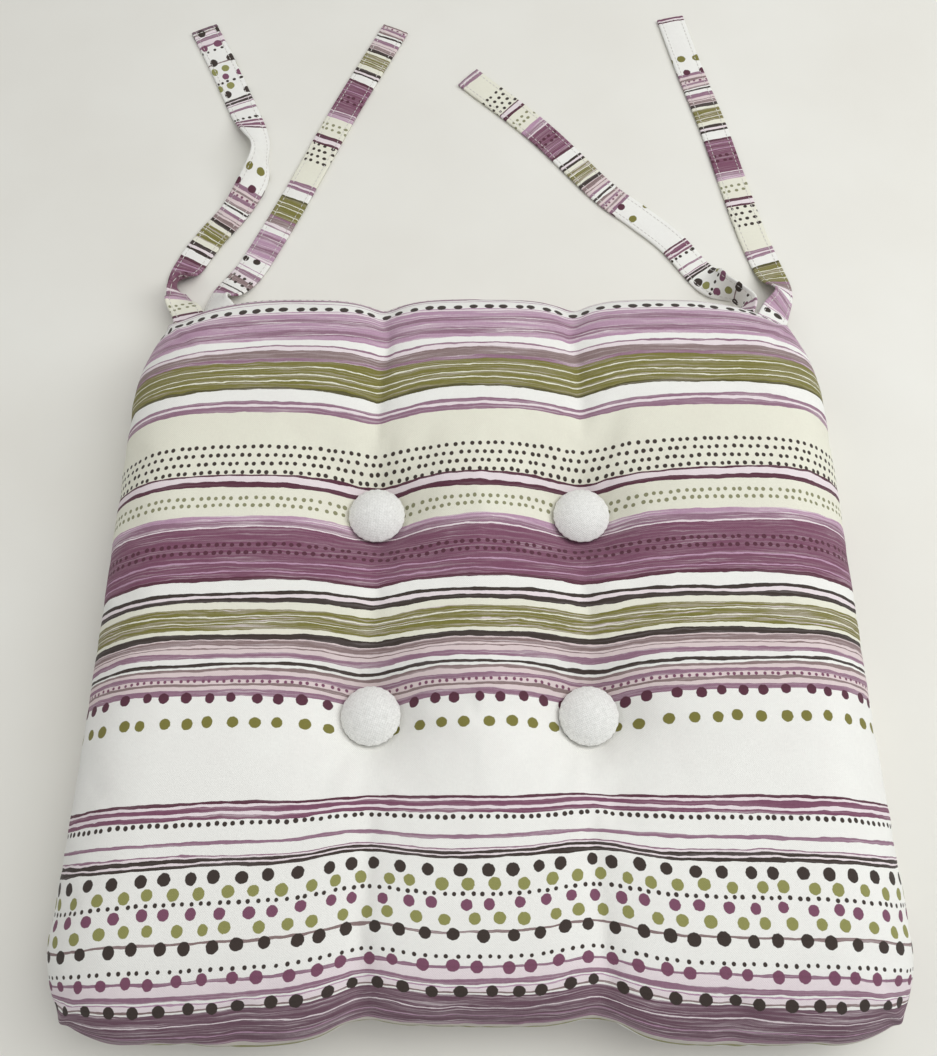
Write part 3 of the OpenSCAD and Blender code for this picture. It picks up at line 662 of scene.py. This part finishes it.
x, y, up, *_ = pad_form(FILLING_CELLS, EDGE_REACH, CROWN_Z - SEAM_Z, EDGE_FULL)
crown = crown_height(x, y, up, CROWN_Z - SEAM_Z - FILLING_GAP)
crown = crown - (tuft_relief(x, y) + FILLING_GAP / 2) * np.sqrt(np.clip(up, 0, 1))
upper = np.stack([x * FILLING_SHRINK, y * FILLING_SHRINK, crown], -1)
x, y, up, *_ = pad_form(FILLING_CELLS, FOOT_REACH, SEAM_Z, FOOT_FULL)
base = SEAM_Z * (1 - up) + (under_relief(x, y) + FILLING_GAP / 2) * up
lower = np.stack([x * FILLING_SHRINK, y * FILLING_SHRINK, base], -1)[:, ::-1]
both = [grid_surface("filling_half", half, half[..., :2] / MM) for half in (upper, lower)]
joined = bmesh.new()
for half in both:
    joined.from_mesh(half.data)
    bpy.data.objects.remove(half)
filling_mesh = bpy.data.meshes.new("fibre_block")
joined.to_mesh(filling_mesh)
joined.free()
filling = add_object("fibre_block", filling_mesh)
welded(filling)
filling_mesh.materials.append(fibre_filling("white_fibre"))
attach(filling, "root")
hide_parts("filling")

# ---- Seam ----
# The panels are sewn face to face with one line of machine stitching and turned out, so their
# raw edges lie as a flat ring inside. The middle of the back edge was closed by hand.

ALLOWANCE_IN, ALLOWANCE_WIDE, ALLOWANCE_THICK, ALLOWANCE_STEPS = 0.0024, 0.010, 0.0016, 480
RIPPLE, RIPPLES, ALLOWANCE_PRINT = 0.0006, 61, 620
THREAD_RADIUS, STITCH, STITCH_GAP, STITCH_INSIDE = 0.00026, 0.0026, 0.0006, 0.0009
CLOSING_HALF, CLOSING_COUNT, CLOSING_LEAN, CLOSING_RISE, CLOSING_OUT = 0.028, 9, 0.0008, 0.0016, 0.0006


def walk(line):
    """How far along a line of points each point lies."""
    return np.concatenate([[0], np.cumsum(np.linalg.norm(np.diff(line, axis=0), axis=1))])


def unit(directions):
    """Directions at a length of one."""
    return directions / np.linalg.norm(directions, axis=1, keepdims=True)


def loop_points(count):
    """Even points along the seam, the directions along it and out of it, and its length."""
    angle, far = seam_line()
    order = np.argsort(angle)
    line = np.stack([far * np.cos(angle), far * np.sin(angle)], -1)[order]
    line = np.concatenate([line, line[:1]])
    walked = walk(line)
    at = np.linspace(0, walked[-1], count, endpoint=False)
    points = np.stack([np.interp(at, walked, line[:, k]) for k in (0, 1)], -1)
    along = unit(np.roll(points, -1, 0) - np.roll(points, 1, 0))
    return points, along, np.stack([along[:, 1], -along[:, 0]], -1), walked[-1]


def ring_solid(name, rings, cloth, closed_path):
    """A closed solid from rings of points carried along a path: the first and the last ring close
    its ends, or the path meets itself. The cloth map has one more column than the rings, and one
    more row on a closed path, so the last faces don't run back over the print."""
    count, around = rings.shape[:2]
    index = np.arange(count * around).reshape(count, around)
    here = index if closed_path else index[:-1]
    there = np.roll(index, -1, 0) if closed_path else index[1:]
    quads = np.stack([here, np.roll(here, -1, 1), np.roll(there, -1, 1), there], -1).reshape(-1, 4)
    rows = cloth[:len(here) + 1]
    flat = np.stack([rows[:-1, :-1], rows[:-1, 1:], rows[1:, 1:], rows[1:, :-1]], 2).reshape(-1, 2)
    faces = quads.tolist()
    if not closed_path:
        faces += [index[0, ::-1].tolist(), index[-1].tolist()]
        flat = np.concatenate([flat, cloth[0, :around][::-1], cloth[-1, :around]])
    made = add_mesh(name, rings.reshape(-1, 3), faces)
    flat = flat.astype(np.float32).reshape(-1)
    made.data.uv_layers.new(name="cloth").data.foreach_set("uv", flat)
    return made


def spindles(name, starts, ends, radius):
    """Many short stitches as one mesh: each is a bead of six sides, round in the middle and
    pointed at its two ends, from its start to its end."""
    axis, length = unit(ends - starts), np.linalg.norm(ends - starts, axis=1, keepdims=True)
    side = unit(np.cross(axis, np.where(np.abs(axis[:, 2:]) > 0.9, [[1.0, 0, 0]], [[0, 0, 1.0]])))
    turn = (np.arange(6) * math.pi / 3)[:, None]
    around = side[:, None] * np.cos(turn) + np.cross(axis, side)[:, None] * np.sin(turn)
    rings = [starts[:, None]]
    for share, thick in ((0.06, 0.55), (0.3, 1.0), (0.7, 1.0), (0.94, 0.55)):
        rings.append((starts + axis * length * share)[:, None] + around * radius * thick)
    points = np.concatenate(rings + [ends[:, None]], 1)
    k = np.arange(6)
    after = (k + 1) % 6
    quads = [np.stack([k, after, 6 + after, 6 + k], -1) + 1 + 6 * ring for ring in range(3)]
    tips = [np.stack([0 * k, 1 + after, 1 + k], -1), np.stack([0 * k + 25, 19 + k, 19 + after], -1)]
    step = np.arange(len(starts))[:, None, None] * 26
    faces = [(np.concatenate(part)[None] + step).reshape(-1, part[0].shape[1]) for part in (quads, tips)]
    return add_mesh(name, points.reshape(-1, 3), faces[0].tolist() + faces[1].tolist())


def twist_group():
    """The twist of spun thread: slightly bent diagonal bands. Puts out their value."""
    tree, given, result = new_group("thread_twist", ["Place"], ["Scale", "Bend"], ["Twist"])
    values = {"Vector": given["Place"], "Scale": given["Scale"], "Distortion": given["Bend"]}
    wave = put(tree, "ShaderNodeTexWave", values, bands_direction="DIAGONAL")
    tree.links.new(wave.outputs["Fac"], result["Twist"])
    return tree


TWIST_GROUP = twist_group()


def sewing_thread(name, low, high):
    """Spun sewing thread: painted shade in the grooves of a fine twist, flecked by fuzz, a soft sheen and a
    fibrous bump.
    """
    material, tree, shader = nodes_of(name)
    place = put(tree, "ShaderNodeTexCoord").outputs["Object"]
    twist = use(tree, TWIST_GROUP, {"Place": place, "Scale": 1400.0, "Bend": 1.5})["Twist"]
    fuzz = noise(tree, place, 2500.0, 2.0)
    # Painted shade: the thread is darker in the twist's grooves, the low bands of the same twist that makes
    # its bump, and flecked by the fuzz noise.
    colour = blend_colour(tree, times(tree, twist, fuzz), low, high)
    finish_shader(tree, shader, colour, spread(tree, fuzz, 0.2, 0.8, 0.55, 0.8), 0.4, 0.00005, twist)
    return material


points, along, outward, seam_length = loop_points(ALLOWANCE_STEPS)
turn = np.arange(ALLOWANCE_STEPS) * 2 * math.pi / ALLOWANCE_STEPS
wide = ALLOWANCE_WIDE + RIPPLE * np.sin(RIPPLES * turn)
rings = []
for share, high in ((0, -0.5), (0, 0.5), (1, 0.42), (1, -0.42)):
    edge = points - outward * (ALLOWANCE_IN + share * wide)[:, None]
    rings.append(np.concatenate([edge, np.full((len(edge), 1), SEAM_Z + high * ALLOWANCE_THICK)], 1))
printed = np.linspace(0, seam_length / MM, ALLOWANCE_STEPS + 1) + ALLOWANCE_PRINT
cloth = np.stack(np.meshgrid(np.linspace(0, 24, 5), printed), -1)
allowance = ring_solid("seam_allowance_ring", np.stack(rings, 1), cloth, True)
welded(allowance)
allowance.data.materials.append(COVER_PRINT)
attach(allowance, "root")
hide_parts("seam_allowance")

count = int(seam_length / (STITCH + STITCH_GAP))
points, along, outward, _ = loop_points(count)
level = np.full((count, 1), SEAM_Z)
middle = np.concatenate([points - outward * (CLOTH_THICK + STITCH_INSIDE), level], 1)
reach = np.concatenate([along, 0 * level], 1) * STITCH / 2
seam_stitches = spindles("seam_stitching", middle - reach, middle + reach, THREAD_RADIUS)
WHITE_THREAD = sewing_thread("white_thread", ink(196, 192, 186), ink(240, 238, 232))
seam_stitches.data.materials.append(WHITE_THREAD)
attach(seam_stitches, "root")
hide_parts("seam_thread")

across = np.linspace(-CLOSING_HALF, CLOSING_HALF, CLOSING_COUNT)
x, y = loop_points(4000)[0].T
x, y = x[y > 0], y[y > 0]
edge = np.interp(across, np.sort(x), y[np.argsort(x)]) + CLOSING_OUT
low = np.stack([across - CLOSING_LEAN, edge, 0 * across + SEAM_Z - CLOSING_RISE], -1)
closing = spindles("hand_closing", low, low + [2 * CLOSING_LEAN, 0, 2 * CLOSING_RISE], THREAD_RADIUS)
closing.data.materials.append(WHITE_THREAD)
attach(closing, "root")
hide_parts("closing_stitches")

# ---- Covered buttons ----
# Four white buttons: a disc of plain-weave cotton is gathered over a pressed aluminium shell
# and held by a snapped-in back plate. A bent wire shank stands out underneath.

BUTTON_RADIUS, DOME, RIM, HEM, BUTTON_CLOTH = 0.0145, 0.006, 0.0012, 0.004, 0.00055
RIM_Z, RIM_CURL, RIM_FLAT, BUTTON_SIDES = 0.0405, 0.0008, 0.0012, 96
PLEATS, PLEAT_DEEP, BUTTON_PITCH = 22, 0.00016, 0.6


def button_weave(name):
    """White plain-weave cotton: thread height, thin shade between threads and a few slubs."""
    material, tree, shader = nodes_of(name)
    place = put(tree, "ShaderNodeUVMap", uv_map="cloth").outputs[0]
    weave = use(tree, WEAVE_GROUP, {"Cloth": place, "Pitch": BUTTON_PITCH})
    shade = blend_colour(tree, weave["Mottle"], ink(243, 243, 239), ink(218, 218, 213))
    rough = spread(tree, weave["Mottle"], 0, 1, 0.7, 0.9)
    finish_shader(tree, shader, shade, rough, 0.9, 0.0002, weave["Height"])
    shader.inputs["Sheen Weight"].default_value = 0.1
    return material


def button_cover(name, middle, seed):
    """A closed skin turned about the button's middle: a dome that is part of a ball, a round rim
    gathered into small pleats, the hem tucked under, and the same line back inside."""
    ball = (BUTTON_RADIUS**2 + DOME**2) / (2 * DOME)
    bend = np.linspace(0, math.asin(BUTTON_RADIUS / ball), 30)
    outer = np.stack([ball * np.sin(bend), RIM + DOME - ball * (1 - np.cos(bend))])
    within = ball - BUTTON_CLOTH
    inside = np.stack([within * np.sin(bend) * 0.958, RIM + DOME - ball + within * np.cos(bend)])
    curl = np.linspace(0, math.pi / 2, 8)[1:]
    rim = np.stack([BUTTON_RADIUS - RIM_CURL * (1 - np.cos(curl)), RIM * (1 - np.sin(curl))])
    hem = np.stack([np.linspace(BUTTON_RADIUS - RIM_FLAT, BUTTON_RADIUS - HEM, 5), np.zeros(5)])
    back = np.stack([hem[0][::-1], hem[1] + BUTTON_CLOTH])[:, :-1]
    r, h = np.concatenate([outer, rim, hem, back, inside[:, ::-1]], 1)
    walked = walk(np.stack([r, h], -1)) / MM
    turn = (np.arange(BUTTON_SIDES + 1) * 2 * math.pi / BUTTON_SIDES)[:, None]
    near_rim = np.exp(-(((r - BUTTON_RADIUS) / 0.0022) ** 2)) * (h < RIM + 0.0015)
    r = r + PLEAT_DEEP * np.sin(PLEATS * turn + 1.5 * np.sin(3 * turn + seed)) * near_rim
    rings = [middle[0] + r * np.cos(turn), middle[1] + r * np.sin(turn), RIM_Z + h + 0 * r]
    cloth = np.stack([walked * np.cos(turn + seed), walked * np.sin(turn + seed)], -1) + 40 * seed
    made = grid_surface(name, np.stack(rings, -1), cloth)
    welded(made)
    return made


def pressed_metal(name, low, high, rough, grain):
    """Bare metal: a drawn grain in its colour and roughness, and fine scratches in its bump."""
    material, tree, shader = nodes_of(name)
    place = put(tree, "ShaderNodeTexCoord").outputs["Object"]
    drawn = use(tree, GRAIN_GROUP, {"Place": place, "Stretch": grain, "Detail": 3.0})["Grain"]
    rough = spread(tree, drawn, 0.2, 0.8, rough - 0.1, rough + 0.1)
    finish_shader(tree, shader, blend_colour(tree, drawn, low, high), rough, 0.25, 0.00003, drawn)
    shader.inputs["Metallic"].default_value = 1.0
    return material


BUTTON_COTTON = button_weave("white_button_cotton")
SHEET_GRAIN, WIRE_GRAIN = (300, 2400, 800), (2600, 2600, 240)
ALUMINIUM = pressed_metal("pressed_aluminium", ink(176, 178, 182), ink(214, 216, 220), 0.38, SHEET_GRAIN)
WIRE = pressed_metal("shank_steel", ink(150, 150, 152), ink(196, 196, 198), 0.3, WIRE_GRAIN)
tufts = [(side * COLUMN_X, row) for row in TUFT_ROWS for side in (-1, 1)]
for number, middle in enumerate(tufts, 1):
    cover = button_cover(f"button_cover_{number}", middle, number * 0.7)
    cover.data.materials.append(BUTTON_COTTON)
    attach(cover, "root")
    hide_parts(f"button_cloth_{number}")
    for node, metal in (("shell", ALUMINIUM), ("back", ALUMINIUM), ("shank", WIRE)):
        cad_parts[f"button_{node}_{number}"].material_slots[0].material = metal

# ---- Tufting twine and backing buttons ----
# Waxed twine runs from each shank through the pad and is knotted under a small flat nylon
# button, which spreads its pull on the underside.

SCUFF_STRETCH = (1500, 300, 600)


def waxed_twine(name):
    """Two-ply waxed twine: a diagonal twist, wax shine, and painted shade in the twist's hollows, mottled
    by the wax.
    """
    material, tree, shader = nodes_of(name)
    place = put(tree, "ShaderNodeTexCoord").outputs["Object"]
    twist = use(tree, TWIST_GROUP, {"Place": place, "Scale": 260.0, "Bend": 0.6})["Twist"]
    wax = noise(tree, place, 400.0, 3.0)
    # Painted shade: darker in the twist's hollows, the low bands of the same twist that makes the bump, and
    # uneven with the wax noise.
    colour = blend_colour(tree, times(tree, twist, wax), ink(186, 172, 142), ink(236, 228, 204))
    finish_shader(tree, shader, colour, spread(tree, wax, 0.3, 0.7, 0.35, 0.6), 0.6, 0.00012, twist)
    return material


def moulded_nylon(name):
    """Milky nylon: faint flow marks, a fine moulded grain and small scuffs."""
    material, tree, shader = nodes_of(name)
    place = put(tree, "ShaderNodeTexCoord").outputs["Object"]
    flow = noise(tree, place, 160.0, 3.0)
    scuff = use(tree, GRAIN_GROUP, {"Place": place, "Stretch": SCUFF_STRETCH, "Detail": 3.0})["Grain"]
    colour = blend_colour(tree, flow, ink(222, 220, 210), ink(240, 239, 233))
    finish_shader(tree, shader, colour, spread(tree, scuff, 0.3, 0.7, 0.35, 0.55), 0.3, 0.00004, scuff)
    shader.inputs["Subsurface Weight"].default_value = 0.1
    return material


TWINE, NYLON = waxed_twine("waxed_twine"), moulded_nylon("milky_nylon")
for number in range(1, 5):
    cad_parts[f"tuft_twine_{number}"].material_slots[0].material = TWINE
    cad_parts[f"backing_button_{number}"].material_slots[0].material = NYLON

# ---- Ties ----
# Four strips of the printed cotton, each folded in four and topstitched along both edges. Each
# is caught in the seam at a back corner, drops to the table and lies where it fell.

TIE_WIDE, TIE_THICK, TIE_STEP, TIE_PROFILE, TIE_SUNK = 0.018, 0.0019, 0.0016, 13, 0.0001
STITCH_IN, STITCH_DENT, STITCH_DENT_WIDE = 0.0027, 0.32, 0.09
TOPSTITCH, TOPSTITCH_GAP, TOPSTITCH_FROM, TOPSTITCH_PROUD = 0.0021, 0.0008, 0.034, 0.2
END_PITCH, END_STITCH = 0.3, 0.24
# Each tie's place across the print, the print's place at its end, and the print per length of
# tie; then its middle line from inside the seam to its end, in millimetres, and roll in degrees
TIES = {
    "left_outer": (310, -174, 0.97, [
        (-165, 160, 22, 0), (-165, 172, 22, 0), (-166, 184, 19.5, 0), (-170, 196, 14, 12),
        (-176, 206, 9, 30), (-180, 215, 5.5, 75), (-179, 225, 2.2, 150), (-174, 238, 0.9, 180),
        (-164, 256, 0.9, 180), (-150, 276, 1.6, 183), (-139, 297, 5.5, 212), (-136, 313, 8.4, 246),
        (-140, 330, 5.0, 215), (-150, 352, 0.9, 183), (-164, 384, 0.9, 180), (-181, 420, 0.9, 180)]),
    "left_inner": (405, -32, 1.06, [
        (-145, 172, 22, 0), (-145, 182, 22, 0), (-148, 192, 19, -8), (-154, 202, 12, -25),
        (-154, 211, 6.5, -40), (-147, 220, 2.4, -12), (-138, 233, 0.9, 0), (-129, 251, 0.9, 0),
        (-111, 291, 0.9, 0), (-85, 353, 0.9, 0), (-54, 420, 0.9, 0)]),
    "right_inner": (512, 118, -1.12, [
        (145, 172, 22, 0), (146, 183, 21, 0), (152, 194, 16.5, -35), (158, 203, 12, -72),
        (154, 212, 9.6, -84), (145, 218, 8.0, -60), (138, 226, 2.6, -14), (131, 236, 0.9, 0),
        (118, 254, 0.9, 0), (98, 273, 0.9, 0), (77, 292, 0.9, 0), (40, 336, 0.9, 0),
        (-6, 380, 0.9, 0)]),
    "right_outer": (598, -88, 1.08, [
        (165, 160, 22, 0), (165, 172, 22, 0), (168, 184, 19, 0), (174, 196, 14, 15),
        (180, 206, 9.5, 42), (182, 216, 6.0, 38), (178, 228, 2.0, 10), (174, 241, 0.9, 0),
        (168, 262, 0.9, 0), (160, 298, 0.9, 0), (151, 340, 0.9, 0), (139, 386, 0.9, 0),
        (129, 429, 0.9, 0)]),
}


def smooth_route(route):
    """A smooth curve through the points (each stretch a cubic whose ends point along their
    neighbours), walked in even steps and lifted where a rolled edge would dip into the table.
    Gives the points in metres, the roll in radians and the length walked."""
    knots = np.array(route, float)
    knots = np.concatenate([2 * knots[:1] - knots[1:2], knots, 2 * knots[-1:] - knots[-2:-1]])
    a, b, c, d = (knots[k:len(knots) - 3 + k, None] for k in range(4))
    t = np.linspace(0, 1, 40, endpoint=False)[None, :, None]
    line = 0.5 * (2 * b + (c - a) * t + (2 * a - 5 * b + 4 * c - d) * t**2 + (3 * b - a - 3 * c + d) * t**3)
    line = np.concatenate([line.reshape(-1, 4), knots[-2:-1]])
    line = line * [MM, MM, MM, math.pi / 180]
    walked = walk(line[:, :3])
    at = np.linspace(0, walked[-1], int(walked[-1] / TIE_STEP))
    even = np.stack([np.interp(at, walked, line[:, k]) for k in range(4)], -1)
    roll = even[:, 3]
    lowest = TIE_WIDE / 2 * np.abs(np.sin(roll)) + TIE_THICK / 2 * np.abs(np.cos(roll)) - TIE_SUNK
    even[:, 2] = np.maximum(even[:, 2], lowest)
    return even[:, :3], roll, at


def tie_frame(middle, roll):
    """Directions along a tie, across its width and out of its face, turned by its roll."""
    along = unit(np.gradient(middle, axis=0))
    across = unit(np.cross(along, [0, 0, 1.0]))
    face = np.cross(across, along)
    turn = roll[:, None]
    return along, across * np.cos(turn) - face * np.sin(turn), face * np.cos(turn) + across * np.sin(turn)


def tie_half_thick(v):
    """Half a tie's thickness at v, from -1 to 1 across it: full over the folded layers, pressed in
    along the two rows of topstitching, and rounded off at the edges."""
    sewn = 1 - STITCH_IN / (TIE_WIDE / 2)
    pressed = np.exp(-(((np.abs(v) - sewn) / STITCH_DENT_WIDE) ** 2))
    return TIE_THICK / 2 * (1 - STITCH_DENT * pressed) * (1 - np.abs(v) ** 14) ** 0.5


def tie_surface(path, v, over):
    """Places for thread on a tie: the middle line, plus v of its half width across it, plus its
    half thickness at v out of its upper face (over is 1) or its lower face (over is -1)."""
    middle, across, face = path
    lift = over * (tie_half_thick(v) + THREAD_RADIUS * TOPSTITCH_PROUD)
    return middle + across * v * TIE_WIDE / 2 + face * lift


for name, (print_across, print_at_end, print_share, route) in TIES.items():
    middle, roll, at = smooth_route(route)
    along, across, face = tie_frame(middle, roll)
    v = np.sin(np.linspace(-1, 1, TIE_PROFILE) * math.pi / 2)
    profile = np.concatenate([[v, tie_half_thick(v)], [v[-2:0:-1], -tie_half_thick(v[-2:0:-1])]], 1)
    profile[0] *= TIE_WIDE / 2
    rings = middle[:, None] + across[:, None] * profile[0, :, None] + face[:, None] * profile[1, :, None]
    round_place = walk(np.concatenate([profile, profile[:, :1]], 1).T) / MM
    along_print = print_at_end + print_share * (at[-1] - at) / MM
    cloth = np.stack(np.broadcast_arrays(print_across + round_place[None], along_print[:, None]), -1)
    tie = ring_solid(f"tie_{name}", rings[:, ::-1], cloth[:, ::-1], False)
    welded(tie)
    tie.data.materials.append(COVER_PRINT)
    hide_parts(f"tie_end_{name}", f"tie_tail_{name}")
    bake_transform(tie)

    places = np.arange(TOPSTITCH_FROM, at[-1] - STITCH_IN, TOPSTITCH + TOPSTITCH_GAP)
    lines, paths = np.concatenate([middle, across, face], 1), []
    for shift in (0.0, TOPSTITCH):
        there = np.stack([np.interp(places + shift, at, line) for line in lines.T], -1)
        paths.append(np.split(there, 3, 1))
    end_path = middle[-1] - along[-1] * STITCH_IN, across[-1], face[-1]
    v_row = 1 - STITCH_IN / (TIE_WIDE / 2)
    v_end = np.arange(-1 + END_PITCH, 1 - END_PITCH, END_PITCH)[:, None]
    ends = [tie_surface(path, side * v_row, over) for side in (-1, 1) for over in (-1, 1) for path in paths]
    ends += [tie_surface(end_path, v_end + shift, over) for over in (-1, 1) for shift in (0.0, END_STITCH)]
    starts, stops = np.concatenate(ends[0::2]), np.concatenate(ends[1::2])
    sewn = spindles(f"topstitching_{name}", starts, stops, THREAD_RADIUS)
    sewn.data.materials.append(WHITE_THREAD)
    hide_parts(f"tie_stitching_{name}")
    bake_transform(sewn)
